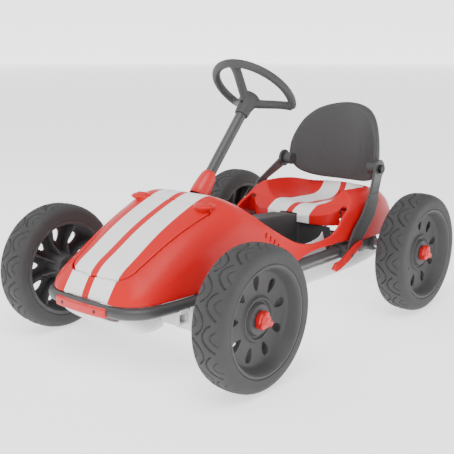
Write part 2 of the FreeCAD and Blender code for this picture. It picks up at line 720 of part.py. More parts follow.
def steering_sleeve():
    """Bell shaped lock: its skirt covers the fold joint, its neck slides on the column."""
    outer = rod(on_column(SLEEVE_FROM), on_column(SLEEVE_TO), SLEEVE_RADIUS)
    rims = [e for e in outer.Edges if e.Length > 50]
    top = [e for e in rims if e.CenterOfMass.z > on_column(SLEEVE_TO - 5).z]
    outer = outer.makeFillet(8, top)
    skirt = rod(on_column(SLEEVE_FROM - 1), on_column(SLEEVE_FROM + 15), SLEEVE_RADIUS - 2.5)
    return outer.cut([skirt, rod(on_column(SLEEVE_FROM - 5), on_column(SLEEVE_TO + 5), 10.5 + RUNNING_GAP)])


def steering_wheel():
    """Open bottomed wheel: C shaped rim, three dished spokes and a hub."""
    centre = on_column(WHEEL_AT)
    across = X_AXIS
    upward = V(0, -math.sin(COLUMN_TILT), math.cos(COLUMN_TILT))

    def on_rim(degrees):
        a = math.radians(degrees)
        return centre + across * (STEER_RIM_RADIUS * math.cos(a)) + upward * (STEER_RIM_RADIUS * math.sin(a))
    arc = Part.Arc(on_rim(RIM_END), on_rim(90), on_rim(180 - RIM_END)).toShape()
    path = Part.Wire(arc)
    tangent = path.Edges[0].tangentAt(path.Edges[0].FirstParameter)
    circle = Part.Wire(Part.makeCircle(STEER_RIM_TUBE, on_rim(RIM_END), tangent))
    shape = path.makePipeShell([circle], True, False)
    for degrees in (RIM_END, 180 - RIM_END):
        shape = shape.fuse(Part.makeSphere(STEER_RIM_TUBE, on_rim(degrees)))
    hub = Part.makeCone(13, 19, 30, on_column(HUB_AT + 0.5), COLUMN_DIR)
    hub = hub.fuse(Part.makeCone(19, 14, 6, on_column(HUB_AT + 30.5), COLUMN_DIR))
    for degrees in (RIM_END, 90, 180 - RIM_END):
        a = math.radians(degrees)
        root = on_column(HUB_AT + 16) + across * (8 * math.cos(a)) + upward * (8 * math.sin(a))
        shape = shape.fuse(rod(root, on_rim(degrees), 7.5))
    return tidy(shape.fuse(hub))


def wheel_screw():
    start = on_column(HUB_AT + 36.5)
    return rod(start, start + COLUMN_DIR * 3, 5)


def knuckle():
    """Stub axle carrier: barrel on the kingpin, upright plate, steering arm and stub."""
    pin_x, pin_y = KINGPIN_X, KINGPIN_Y
    barrel = rod(V(pin_x, pin_y, 92.3), V(pin_x, pin_y, 109.7), 9)
    web = box(pin_x, 190, pin_y - 5, pin_y + 5, 92.3, 109.7)
    upright = box(186, 193, -286, -228, 62, 138)
    arm_y = pin_y + KNUCKLE_ARM
    arm = box(pin_x, 190, arm_y - 9, arm_y + 9, TIE_ROD_Z + 5.4, TIE_ROD_Z + 11.4)
    arm = arm.fuse(rod(V(pin_x, arm_y, TIE_ROD_Z + 5.4), V(pin_x, arm_y, TIE_ROD_Z + 11.4), 9))
    pin = rod(V(pin_x, arm_y, TIE_ROD_Z - 7), V(pin_x, arm_y, TIE_ROD_Z + 6), 3)
    stub = rod_x(192, HALF_TRACK + 16.3 + 8, FRONT_AXLE_Y, AXLE_Z, STUB_RADIUS)
    collar = rod_x(192, HALF_TRACK - 30.6, FRONT_AXLE_Y, AXLE_Z, 11)
    shape = barrel.fuse([web, upright, arm, pin, stub, collar]).removeSplitter()
    return shape.cut(rod(V(pin_x, pin_y, 80), V(pin_x, pin_y, 130), KINGPIN_RADIUS + RUNNING_GAP))


def tie_rod():
    """Left tie rod: bar with an eye on the knuckle pin and a loose eye at the pitman arm."""
    outer = V(KINGPIN_X, KINGPIN_Y + KNUCKLE_ARM, TIE_ROD_Z)
    pitman = on_column(PITMAN_AT, -PITMAN_LENGTH)
    inner = V(6, pitman.y, TIE_ROD_Z)
    half = 4.5
    shape = rod(inner + V(7, 0, 0), outer - V(6, 0, 0), half)
    eye = rod(outer - V(0, 0, half), outer + V(0, 0, half), 9)
    shape = shape.fuse(eye)
    return tidy(shape.cut(rod(outer - V(0, 0, 20), outer + V(0, 0, 20), 3 + RUNNING_GAP)))


# ---------------------------------------------------------------- seat back
def seat_clamp():
    """Collar on the rail with an outboard lug for the arm and the lever."""
    collar = rod(V(RAIL_X, CLAMP_FROM_Y, RAIL_Z), V(RAIL_X, CLAMP_TO_Y, RAIL_Z), 14)
    lug = box(138, 149, CLAMP_FROM_Y, CLAMP_TO_Y, 116, 142)
    shape = collar.fuse(lug)
    return tidy(shape.cut(rod(V(RAIL_X, 0, RAIL_Z), V(RAIL_X, 300, RAIL_Z), RAIL_RADIUS + RUNNING_GAP)))


def back_arm():
    """Flat strap from the clamp up to the backrest bolt, bent inwards near the top."""
    x0, x1 = 149.0, 155.0
    strap = side_plate([(178, 131), (208, 126), (228, 141), (248, 158), (284, 194), (296, 222), (297, 240),
                        (262, 240), (257, 230), (234, 200), (204, 174), (188, 152)], x0, x1)
    thin = 6.0
    inner_x = PIVOT_X - thin / 2
    low = [V(x0, 297, 238), V(x1, 297, 238), V(x1, 262, 238), V(x0, 262, 238)]
    high = [V(inner_x, PIVOT_Y + 13, 274), V(inner_x + thin, PIVOT_Y + 13, 274),
            V(inner_x + thin, PIVOT_Y - 19, 287), V(inner_x, PIVOT_Y - 19, 287)]
    neck = Part.makeLoft([Part.makePolygon(low + low[:1]), Part.makePolygon(high + high[:1])], True, True)
    disc = rod_x(inner_x, inner_x + thin, PIVOT_Y, PIVOT_Z, 20)
    shape = strap.fuse([neck, disc])
    shape = shape.cut(rod_x(inner_x + thin, 170, PIVOT_Y, PIVOT_Z, 10))
    return tidy(shape.cut(rod_x(100, 170, PIVOT_Y, PIVOT_Z, 4)))


def pivot_bolts():
    shank = rod_x(PIVOT_X - 16, PIVOT_X + 5, PIVOT_Y, PIVOT_Z, 4)
    head = rod_x(PIVOT_X + 3, PIVOT_X + 10, PIVOT_Y, PIVOT_Z, 9)
    bolt = shank.fuse(head).removeSplitter()
    return bolt, mirrored(bolt)


def clamp_lever():
    """Curved release lever beside the clamp; it turns on a cross pin."""
    outline = [(114, 108), (124, 101), (142, 104), (174, 115), (202, 129), (222, 138), (222, 149),
               (200, 145), (172, 132), (146, 120), (126, 119)]
    plate = side_plate(outline, 155.6, 163.6)
    hole = rod_x(140, 170, LEVER_PIN_Y, LEVER_PIN_Z, 3 + RUNNING_GAP)
    return tidy(plate.cut(hole))


def lever_pin():
    """Pin and tab that carry the lever; part of the clamp."""
    y, z = LEVER_PIN_Y, LEVER_PIN_Z
    tab = side_plate([(177, 114), (197, 114), (203, 124), (198, 136), (178, 136), (173, 124)], 149, 155)
    return tab.fuse(rod_x(150, 165, y, z, 3))


def backrest():
    """Moulded shell, hollow towards the driver, with lugs at the two pivot bolts."""
    half, wrap, thick = 122.0, 60.0, 11.0

    def band(z):
        middle = 394 + (z - 240) * 0.05
        front, rear = [], []
        for i in range(13):
            x = -half + 2 * half * i / 12
            y = middle - wrap * (abs(x) / half) ** 2.2
            front.append(V(x * 0.985, y - 2, z))
            rear.append(V(x, y + thick, z))
        return Part.Wire([spline(front), Part.LineSegment(front[-1], rear[-1]).toShape(),
                          spline(rear[::-1]), Part.LineSegment(rear[0], front[0]).toShape()])
    slab = Part.makeLoft([band(z) for z in (230, 330, 430)], True, False)
    right = [(0, 240), (54, 242), (88, 250), (108, 264), (118, 288), (119, 318), (111, 350), (95, 382),
             (70, 405), (37, 417), (0, 421)]
    outline = [V(x, 300, z) for x, z in right] + [V(-x, 300, z) for x, z in right[-2:0:-1]]
    curve = Part.BSplineCurve()
    curve.interpolate(Points=outline, PeriodicFlag=True)
    front_view = Part.Face(Part.Wire(curve.toShape())).extrude(V(0, 140, 0))
    shape = slab.common(front_view)
    lug_end = PIVOT_X - 3.7
    lug = box(104, lug_end, PIVOT_Y - 10, PIVOT_Y + 14, PIVOT_Z - 13, PIVOT_Z + 13)
    lug = lug.fuse(rod_x(104, lug_end, PIVOT_Y, PIVOT_Z, 13))
    shape = shape.fuse([lug, mirrored(lug)])
    bore = rod_x(PIVOT_X - 18, PIVOT_X + 30, PIVOT_Y, PIVOT_Z, 4 + RUNNING_GAP)
    return tidy(shape.cut(bore.fuse(mirrored(bore))))


# ---------------------------------------------------------------- build
def main():
    os.makedirs("parts", exist_ok=True)
    save("frame_hoop", frame_hoop())
    save("bumper_plate", bumper_plate())
    save("bumper_screws", *bumper_screws())
    save("front_crossmember", front_crossmember())
    save_pair("kingpin_bracket", kingpin_bracket())
    save("kingpins", *kingpins())
    save_pair("rear_carrier", rear_carrier())
    bush = rear_axle_bush()
    save("rear_axle_bushes", bush, mirrored(bush))
    save("rear_bridge", rear_bridge())
    shell, lid = body_parts()
    save("body_shell", shell)
    save("hood_lid", lid)
    pins = hinge_rods(1.5)
    save("lid_hinge_pins", *pins.Solids)
    save("nose_pan", nose_pan())
    save("floor_pan", floor_pan())
    save("drive_tunnel", drive_tunnel())
    save("crank_bushes", *crank_bushes())
    save("chain", chain())
    save("crankshaft", crankshaft())
    save("chainring", toothed_wheel(RING_TEETH, CRANK_Y, CRANK_Z, 6, 3))
    save("rear_sprocket", toothed_wheel(SPROCKET_TEETH, REAR_AXLE_Y, AXLE_Z, 7, 3))
    save("pedal_left", pedal(1))
    save("pedal_right", pedal(-1))
    for place, y, bore in (("front", FRONT_AXLE_Y, STUB_RADIUS + RUNNING_GAP), ("rear", REAR_AXLE_Y, 7)):
        save_pair(place + "_tyre", tyre(y))
        save_pair(place + "_rim", rim(y, bore))
    save_pair("front_hub_cap", hub_cap(FRONT_AXLE_Y, STUB_RADIUS + RUNNING_GAP, 9))
    save_pair("rear_hub_cap", hub_cap(REAR_AXLE_Y, 7, 8))
    save("rear_axle", rear_axle())
    save("steering_shaft", steering_shaft())
    save("fold_pin", fold_pin())
    save("pitman_arm", pitman_arm())
    save("column_bearing", column_bearing())
    save("column_bracket", column_bracket())
    save("steering_column", steering_column())
    save("steering_sleeve", steering_sleeve())
    save("steering_wheel", steering_wheel())
    save("wheel_screw", wheel_screw())
    save_pair("knuckle", knuckle())
    save_pair("tie_rod", tie_rod())
    clamp = tidy(seat_clamp().fuse(lever_pin()).cut(back_arm()))
    save_pair("seat_clamp", clamp)
    save_pair("back_arm", back_arm())
    save("pivot_bolts", *pivot_bolts())
    save_pair("clamp_lever", clamp_lever())
    save("backrest", backrest())


main()
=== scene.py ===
import json
import math
import bmesh
import bpy
import numpy as np
from mathutils import Euler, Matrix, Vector
from mathutils.bvhtree import BVHTree


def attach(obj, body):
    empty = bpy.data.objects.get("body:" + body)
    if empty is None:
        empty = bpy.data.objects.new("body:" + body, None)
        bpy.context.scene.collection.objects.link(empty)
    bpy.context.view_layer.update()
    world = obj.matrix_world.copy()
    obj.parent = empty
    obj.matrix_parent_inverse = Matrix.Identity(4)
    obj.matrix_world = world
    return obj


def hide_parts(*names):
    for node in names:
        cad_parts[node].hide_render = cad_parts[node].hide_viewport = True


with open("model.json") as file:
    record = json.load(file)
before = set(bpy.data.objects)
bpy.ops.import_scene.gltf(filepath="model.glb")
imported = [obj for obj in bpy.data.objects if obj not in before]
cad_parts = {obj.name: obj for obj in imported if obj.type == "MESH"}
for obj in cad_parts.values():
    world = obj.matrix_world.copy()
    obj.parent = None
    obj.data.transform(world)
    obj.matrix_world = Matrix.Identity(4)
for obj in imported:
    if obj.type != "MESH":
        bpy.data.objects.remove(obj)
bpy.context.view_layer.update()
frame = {"nodes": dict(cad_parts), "record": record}

# Sizes and places are in millimetres unless a name or comment says otherwise
MM = 0.001
WHEEL_RADIUS = 125.0
TYRE_HALF = 32.5
RIM_RADIUS = 95.0
HALF_TRACK = 249.0
FRONT_AXLE = Vector((0.0, -260.0, 125.0))
REAR_AXLE = Vector((0.0, 296.0, 125.0))
FRONT_BORE = 6.2
REAR_BORE = 7.1
WINDOWS = 9
TREAD_BLOCKS = 15
TREAD_RADIUS = 118
TYRE_STEPS = 570
# Half width and depth of the tread's two kinds of groove, and the depth of the scoop beside them
LONG_GROOVE = (1.5, 2.8)
SHORT_GROOVE = (1.1, 1.8)
RAMP_DEPTH = 0.9

COLUMN_POINT = Vector((0, -79, 317))
COLUMN_TILT = math.radians(48.4)
COLUMN_DIR = Vector((0, math.cos(COLUMN_TILT), math.sin(COLUMN_TILT)))
COLUMN_UP = Vector((0, -math.sin(COLUMN_TILT), math.cos(COLUMN_TILT)))
ACROSS = Vector((1, 0, 0))
HUB_AT = 150.0
STEER_RIM_AT = 199.0
STEER_RIM_RADIUS = 84.0
STEER_RIM_TUBE = 8.4
STEER_RIM_END = -35.0
SLEEVE_FROM = -56.0

STRIPE_INNER = 8.0
STRIPE_OUTER = 55.5
LID_HINGE = Vector((80.0, -187.0, 277.0))
LID_SEAM_Y = -189.4
# The lid is drawn in a little about its own middle so that the seam around it shows
LID_MIDDLE_Y = -286.0
LID_SHRINK = 0.989
LID_NOSE = Vector((0.0, -386.0, 181.0))

# Side view of the cockpit's edge beside the driver: (y, z)
RIM_LINE = [(-99, 253), (-78, 234), (-42, 209), (9, 182), (50, 169), (90, 165), (139, 170), (163, 183),
            (176, 196), (190, 206), (206, 214), (222, 230)]

# Floor tray: outer flange under the rails and the upstand inside the footwell
FLANGE_X = 123
FLANGE_Z = 111.5
UPSTAND_X = 108
TRAY_TOP_Z = 106
UPSTAND_TOP_Z = 186

BACK_HALF = 122.0
BACK_WRAP = 60.0
BACK_FRONT_Y = 390
BACK_FOOT_Z = 240
BACK_MIDDLE_Z = 330
BACK_LEAN = 0.05
BACK_WALL = 4.0
# Right half of the backrest's outline from the bottom to the top: (x, z)
BACK_LINE = [(0, 240), (54, 242), (88, 250), (108, 264), (118, 288), (119, 318), (111, 350), (95, 382),
             (70, 405), (37, 417), (0, 421)]
BACK_PIVOT = Vector((130.0, 337.0, 286.0))


# ---------------------------------------------------------------- mesh helpers
def link(obj):
    bpy.context.scene.collection.objects.link(obj)
    return obj


def piece(name, points, faces, sharp=40.0):
    """A mesh object from points in millimetres, smooth except at edges sharper than an angle."""
    mesh = bpy.data.meshes.new(name)
    mesh.from_pydata([tuple(c * MM for c in p) for p in points], [], faces)
    mesh.update()
    obj = link(bpy.data.objects.new(name, mesh))
    shade(obj, sharp)
    return obj


def shade(obj, sharp=40.0):
    mesh = obj.data
    mesh.polygons.foreach_set("use_smooth", [True] * len(mesh.polygons))
    mesh.set_sharp_from_angle(angle=math.radians(sharp))


def apply_modifiers(obj):
    graph = bpy.context.evaluated_depsgraph_get()
    mesh = bpy.data.meshes.new_from_object(obj.evaluated_get(graph))
    old = obj.data
    obj.modifiers.clear()
    obj.data = mesh
    bpy.data.meshes.remove(old)


def loft(name, rings, sharp=40.0, closed=False, caps=True):
    """A skin over rings with the same number of points; closed joins the last ring to the first."""
    count = len(rings[0])
    points = [p for ring in rings for p in ring]
    faces = []
    spans = len(rings) if closed else len(rings) - 1
    for i in range(spans):
        a, b = i * count, ((i + 1) % len(rings)) * count
        for j in range(count):
            k = (j + 1) % count
            faces.append((a + j, a + k, b + k, b + j))
    if caps and not closed:
        faces.append(tuple(range(count))[::-1])
        last = (len(rings) - 1) * count
        faces.append(tuple(range(last, last + count)))
    obj = piece(name, points, faces, sharp)
    outward(obj)
    return obj


def outward(obj):
    work = bmesh.new()
    work.from_mesh(obj.data)
    bmesh.ops.recalc_face_normals(work, faces=work.faces)
    work.to_mesh(obj.data)
    work.free()


def turned(name, profile, centre, steps=120, sharp=35.0, axis=ACROSS):
    """A closed profile of (offset along the axis, radius) turned about an axis through centre."""
    one = Vector((0, 1, 0)) if abs(axis.y) < 0.1 else ACROSS
    two = axis.cross(one)
    rings = []
    for i in range(steps):
        a = 2 * math.pi * i / steps
        spoke = one * math.cos(a) + two * math.sin(a)
        rings.append([centre + axis * along + spoke * r for along, r in profile])
    return loft(name, rings, sharp, closed=True)


def swept(name, path, section, up, sharp=60.0):
    """A tube along a path: section(i, share) gives the (width, height) half sizes at each point."""
    rings = []
    steps = 20
    for i, p in enumerate(path):
        ahead = path[min(i + 1, len(path) - 1)] - path[max(i - 1, 0)]
        ahead.normalize()
        side = ahead.cross(up).normalized()
        rise = side.cross(ahead).normalized()
        w, h = section(i, i / (len(path) - 1))
        ring = []
        for k in range(steps):
            a = 2 * math.pi * k / steps
            ring.append(p + side * (w * math.cos(a)) + rise * (h * math.sin(a)))
        rings.append(ring)
    return loft(name, rings, sharp)


def joined(name, objects):
    """One mesh object from several, keeping the first one's name slot free for the new name."""
    work = bmesh.new()
    for obj in objects:
        work.from_mesh(obj.data)
    mesh = bpy.data.meshes.new(name)
    work.to_mesh(mesh)
    work.free()
    for obj in objects:
        bpy.data.objects.remove(obj)
    return link(bpy.data.objects.new(name, mesh))


def melt(obj, voxel, smooth_steps, keep=1.0, sharp=180.0):
    """Blend overlapping forms into one moulding with softened edges."""
    remesh = obj.modifiers.new("remesh", "REMESH")
    remesh.mode = "VOXEL"
    remesh.voxel_size = voxel * MM
    soften = obj.modifiers.new("soften", "SMOOTH")
    soften.factor = 0.5
    soften.iterations = smooth_steps
    if keep < 1.0:
        fewer = obj.modifiers.new("fewer", "DECIMATE")
        fewer.ratio = keep
    apply_modifiers(obj)
    shade(obj, sharp)


def blob(name, centre, sizes, rows=24):
    """A closed rounded form with the given half sizes, used to build up or scoop out a moulding."""
    rings = []
    for i in range(rows):
        tilt = math.pi * (i + 0.5) / rows - math.pi / 2
        ring = []
        for k in range(2 * rows):
            a = math.pi * k / rows
            ring.append(centre + Vector((sizes[0] * math.cos(tilt) * math.cos(a),
                                         sizes[1] * math.cos(tilt) * math.sin(a), sizes[2] * math.sin(tilt))))
        rings.append(ring)
    return loft(name, rings)


def keep_side(obj, place, direction):
    """Cut a closed form by a plane square to direction and keep the part that direction points away from."""
    work = bmesh.new()
    work.from_mesh(obj.data)
    geometry = work.verts[:] + work.edges[:] + work.faces[:]
    result = bmesh.ops.bisect_plane(work, geom=geometry, plane_co=place * MM, plane_no=direction,
                                    clear_outer=True)
    open_edges = [e for e in result["geom_cut"] if isinstance(e, bmesh.types.BMEdge)]
    bmesh.ops.edgeloop_fill(work, edges=open_edges)
    bmesh.ops.recalc_face_normals(work, faces=work.faces)
    work.to_mesh(obj.data)
    work.free()
    return obj


def finder(obj):
    """A ray finder on a mesh that stands at the origin."""
    mesh = obj.data
    return BVHTree.FromPolygons([v.co for v in mesh.vertices], [tuple(f.vertices) for f in mesh.polygons])


def copy_of(node, name):
    source = frame["nodes"][node]
    obj = link(bpy.data.objects.new(name, source.data.copy()))
    obj.data.materials.clear()
    return obj


def cut(obj, cutter):
    boolean = obj.modifiers.new("cut", "BOOLEAN")
    boolean.operation = "DIFFERENCE"
    boolean.solver = "EXACT"
    boolean.object = cutter
    apply_modifiers(obj)
    bpy.data.objects.remove(cutter)


def bevel(obj, width, angle=35.0, segments=2):
    rounder = obj.modifiers.new("rounder", "BEVEL")
    rounder.width = width * MM
    rounder.segments = segments
    rounder.limit_method = "ANGLE"
    rounder.angle_limit = math.radians(angle)
    apply_modifiers(obj)


# ---------------------------------------------------------------- materials
def node(tree, kind, place, **values):
    made = tree.nodes.new(kind)
    made.location = place
    for key, value in values.items():
        setattr(made, key, value)
    return made


def base_material(name, roughness):
    mat = bpy.data.materials.new(name)
    mat.use_nodes = True
    shader = mat.node_tree.nodes["Principled BSDF"]
    shader.inputs["Roughness"].default_value = roughness
    return mat, mat.node_tree, shader


def mottled(tree, colour, spread, scale):
    """A colour that wanders a little, as moulded pigment does."""
    coords = node(tree, "ShaderNodeTexCoord", (-1200, 0))
    noise = node(tree, "ShaderNodeTexNoise", (-1000, 0))
    noise.inputs["Scale"].default_value = scale
    noise.inputs["Detail"].default_value = 4
    tree.links.new(coords.outputs["Object"], noise.inputs["Vector"])
    ramp = node(tree, "ShaderNodeValToRGB", (-800, 0))
    low = [c * (1 - spread) for c in colour]
    high = [min(1.0, c * (1 + spread)) for c in colour]
    ramp.color_ramp.elements[0].position = 0.3
    ramp.color_ramp.elements[0].color = (*low, 1)
    ramp.color_ramp.elements[1].position = 0.7
    ramp.color_ramp.elements[1].color = (*high, 1)
    tree.links.new(noise.outputs["Fac"], ramp.inputs["Fac"])
    return coords, ramp.outputs["Color"]


def worn_edges(tree, colour_socket, wear_colour, amount):
    """Lighter, rubbed colour along the outer edges."""
    geometry = node(tree, "ShaderNodeNewGeometry", (-800, -300))
    edge = node(tree, "ShaderNodeMapRange", (-600, -300))
    edge.inputs["From Min"].default_value = 0.53
    edge.inputs["From Max"].default_value = 0.62
    edge.inputs["To Max"].default_value = amount
    tree.links.new(geometry.outputs["Pointiness"], edge.inputs["Value"])
    mix = node(tree, "ShaderNodeMix", (-400, -100), data_type="RGBA")
    mix.inputs["B"].default_value = (*wear_colour, 1)
    tree.links.new(edge.outputs["Result"], mix.inputs["Factor"])
    tree.links.new(colour_socket, mix.inputs["A"])
    return mix.outputs["Result"]


def grain(tree, shader, coords, scale, strength, depth, rough_low, rough_high):
    """Fine surface grain as bump, with roughness that varies over larger patches."""
    fine = node(tree, "ShaderNodeTexNoise", (-800, -600))
    fine.inputs["Scale"].default_value = scale
    fine.inputs["Detail"].default_value = 3
    tree.links.new(coords.outputs["Object"], fine.inputs["Vector"])
    bump = node(tree, "ShaderNodeBump", (-400, -600))
    bump.inputs["Strength"].default_value = strength
    bump.inputs["Distance"].default_value = depth
    tree.links.new(fine.outputs["Fac"], bump.inputs["Height"])
    tree.links.new(bump.outputs["Normal"], shader.inputs["Normal"])
    broad = node(tree, "ShaderNodeTexNoise", (-800, -850))
    broad.inputs["Scale"].default_value = 14
    broad.inputs["Detail"].default_value = 5
    tree.links.new(coords.outputs["Object"], broad.inputs["Vector"])
    spread = node(tree, "ShaderNodeMapRange", (-400, -850))
    spread.inputs["To Min"].default_value = rough_low
    spread.inputs["To Max"].default_value = rough_high
    tree.links.new(broad.outputs["Fac"], spread.inputs["Value"])
    tree.links.new(spread.outputs["Result"], shader.inputs["Roughness"])


def plastic(name, colour, rough=(0.38, 0.5), grain_scale=1400, grain_depth=0.00008, wear=0.25, spread=0.05):
    mat, tree, shader = base_material(name, rough[0])
    coords, tint = mottled(tree, colour, spread, 9)
    lighter = [min(1.0, c * 1.6 + 0.02) for c in colour]
    tint = worn_edges(tree, tint, lighter, wear)
    tree.links.new(tint, shader.inputs["Base Color"])
    grain(tree, shader, coords, grain_scale, 0.5, grain_depth, *rough)
    return mat


def striped(name, colour, stripe, inner, outer, rough=(0.3, 0.42)):
    """Moulded colour with two lengthwise stripes either side of the middle plane."""
    mat, tree, shader = base_material(name, rough[0])
    shader.inputs["Specular IOR Level"].default_value = 0.25
    coords, tint = mottled(tree, colour, 0.05, 7)
    split = node(tree, "ShaderNodeSeparateXYZ", (-1000, 300))
    tree.links.new(coords.outputs["Object"], split.inputs["Vector"])
    side = node(tree, "ShaderNodeMath", (-800, 300), operation="ABSOLUTE")
    tree.links.new(split.outputs["X"], side.inputs[0])
    edges = []
    for place, limit in ((400, inner), (250, outer)):
        edge = node(tree, "ShaderNodeMapRange", (-600, place))
        edge.inputs["From Min"].default_value = (limit - 0.35) * MM
        edge.inputs["From Max"].default_value = (limit + 0.35) * MM
        tree.links.new(side.outputs[0], edge.inputs["Value"])
        edges.append(edge)
    inside = node(tree, "ShaderNodeMath", (-400, 300), operation="SUBTRACT")
    tree.links.new(edges[0].outputs["Result"], inside.inputs[0])
    tree.links.new(edges[1].outputs["Result"], inside.inputs[1])
    mix = node(tree, "ShaderNodeMix", (-200, 200), data_type="RGBA")
    mix.inputs["B"].default_value = (*stripe, 1)
    tree.links.new(inside.outputs[0], mix.inputs["Factor"])
    tree.links.new(tint, mix.inputs["A"])
    tree.links.new(mix.outputs["Result"], shader.inputs["Base Color"])
    grain(tree, shader, coords, 1300, 0.35, 0.00005, *rough)
    return mat


def metal(name, colour, rough=(0.25, 0.4), metallic=1.0):
    mat, tree, shader = base_material(name, rough[0])
    shader.inputs["Metallic"].default_value = metallic
    coords, tint = mottled(tree, colour, 0.08, 30)
    tree.links.new(tint, shader.inputs["Base Color"])
    grain(tree, shader, coords, 700, 0.2, 0.00004, *rough)
    return mat


RED = (0.62, 0.007, 0.009)
WHITE = (0.92, 0.92, 0.91)
DARK = (0.044, 0.044, 0.046)
LIGHT = (0.72, 0.725, 0.73)

MATERIALS = {
    "red": plastic("red moulding", RED, (0.3, 0.42), wear=0.15),
    "striped": striped("striped moulding", RED, WHITE, STRIPE_INNER, STRIPE_OUTER),
    "light": plastic("light grey moulding", LIGHT, (0.45, 0.6), wear=0.1),
    "dark": plastic("dark moulding", DARK, (0.5, 0.65), grain_scale=1100, grain_depth=0.00015),
    "coat": plastic("dark powder coat", (0.046, 0.046, 0.048), (0.34, 0.46), 2200, 0.00006, wear=0.3),
    "tyre": plastic("foam tyre", (0.036, 0.036, 0.037), (0.62, 0.78), 900, 0.0002, wear=0.2, spread=0.1),
    "steel": metal("plated steel", (0.55, 0.55, 0.56)),
    "black": metal("blackened steel", (0.03, 0.03, 0.032), (0.35, 0.5), 0.6),
}

SLOT_LOOKS = {
    "red_plastic": "red", "grey_plastic": "light", "dark_plastic": "dark", "dark_frame": "coat",
    "tyre_foam": "tyre", "steel": "steel", "black_steel": "black",
}


def dress(obj, look):
    obj.data.materials.clear()
    obj.data.materials.append(MATERIALS[look])


def dress_frame():
    slots = {part["node"]: part["material_slot"] for part in frame["record"]["subparts"]}
    for name, obj in frame["nodes"].items():
        look = SLOT_LOOKS[slots[name]]
        for material_slot in obj.material_slots:
            material_slot.material = MATERIALS[look]


def settle(obj, body, slot_name, look, *nodes):
    """Finish a piece: its look, the body that carries it and the CAD nodes it stands for."""
    dress(obj, look)
    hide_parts(*nodes)
    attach(obj, body)


# ---------------------------------------------------------------- wheels
def curve_through(points, spacing):
    """Points every so many millimetres along a smooth curve through the given ones."""
    pts = [Vector(p) for p in points]
    ext = [pts[0] * 2 - pts[1]] + pts + [pts[-1] * 2 - pts[-2]]
    fine = []
    for i in range(1, len(ext) - 2):
        a, b, c, d = ext[i - 1:i + 3]
        for k in range(40):
            t = k / 40
            fine.append(0.5 * ((2 * b) + (c - a) * t + (2 * a - 5 * b + 4 * c - d) * t * t
                               + (3 * b - a - 3 * c + d) * t ** 3))
    fine.append(pts[-1])
    lengths = np.cumsum([0] + [(fine[i + 1] - fine[i]).length for i in range(len(fine) - 1)])
    count = max(2, int(round(lengths[-1] / spacing)))
    out = []
    for want in np.linspace(0, lengths[-1], count + 1):
        i = min(int(np.searchsorted(lengths, want)), len(fine) - 1)
        i = max(i, 1)
        part = (want - lengths[i - 1]) / max(lengths[i] - lengths[i - 1], 1e-9)
        out.append(fine[i - 1].lerp(fine[i], part))
    return out


def groove_depth(u, s):
    """Tread depth at a place in one block: u along the tread, s in from the shoulder, millimetres."""
    depth = np.zeros_like(u)
    long_u = np.linspace(-20, 21, 40)
    long_s = 19 + 17 * np.sin(np.clip((long_u + 20) / 41, 0, 1) * math.pi) ** 0.8 + 0.22 * (long_u + 20)
    short_u = np.linspace(-9, 13, 20)
    short_s = 13 + 11 * np.sin((short_u + 9) / 22 * math.pi) ** 0.8 + 0.2 * (short_u + 9)
    for line_u, line_s, wide, deep in ((long_u, long_s, *LONG_GROOVE), (short_u, short_s, *SHORT_GROOVE)):
        gap = np.full_like(u, 99.0)
        for pu, ps in zip(line_u, line_s):
            gap = np.minimum(gap, np.hypot(u - pu, s - ps))
        depth = np.maximum(depth, deep * np.clip(1.35 - (gap / wide) ** 2, 0, 1))
    inside = np.interp(u, long_u, long_s, left=-1, right=-1)
    ramp = np.clip(1 - (inside - s) / 9, 0, 1) * (inside > s) * np.clip((21 - np.abs(u)) / 6, 0, 1)
    return np.maximum(depth, RAMP_DEPTH * ramp)


def tyre(name, centre, outward_sign):
    """Foam tyre with curved grooves that meet in pairs across the middle of the tread."""
    half, radius = TYRE_HALF, WHEEL_RADIUS
    shoulder = [(half, 0.862 * radius, 0), (0.97 * half, 0.898 * radius, 0), (0.90 * half, 0.932 * radius, 0),
                (0.78 * half, 0.963 * radius, 0), (0.55 * half, 0.987 * radius, 0),
                (0.28 * half, 0.997 * radius, 0), (0, radius, 0)]
    crown = curve_through(shoulder + [(-x, r, z) for x, r, z in shoulder[-2::-1]], 1.25)
    along = np.cumsum([0] + [(crown[i + 1] - crown[i]).length for i in range(len(crown) - 1)])
    wall = [(half - 0.9, RIM_RADIUS + 0.6), (half - 0.1, RIM_RADIUS + 1.6), (half, RIM_RADIUS + 4)]
    bead = wall + [(half, 0.83 * radius)]
    profile = bead + [(p.x, p.y) for p in crown] + [(-x, r) for x, r in bead[::-1]]
    inner = [(-half + 3, RIM_RADIUS - 0.5), (half - 3, RIM_RADIUS - 0.5)]
    profile += inner
    start, end = len(bead), len(bead) + len(crown)
    theta = np.linspace(0, 2 * math.pi, TYRE_STEPS, endpoint=False)
    pitch = 2 * math.pi * TREAD_RADIUS / TREAD_BLOCKS
    block = theta * TREAD_BLOCKS / (2 * math.pi)
    radii = np.tile([r for _, r in profile], (TYRE_STEPS, 1)).astype(float)
    for side in (1, -1):
        u = (((block + (0.5 if side < 0 else 0)) % 1) - 0.5) * pitch
        u = u * -side
        s = along if side > 0 else along[-1] - along
        uu, ss = np.meshgrid(u, s, indexing="ij")
        radii[:, start:end] -= groove_depth(uu, ss) * (ss < along[-1] / 2 + 2)
    xs = np.array([x for x, _ in profile]) * outward_sign
    rings = []
    for i in range(TYRE_STEPS):
        c, sn = math.cos(theta[i]), math.sin(theta[i])
        rings.append([(centre.x + xs[j], centre.y + radii[i, j] * c, centre.z + radii[i, j] * sn)
                      for j in range(len(profile))])
    return loft(name, rings, 50.0, closed=True)


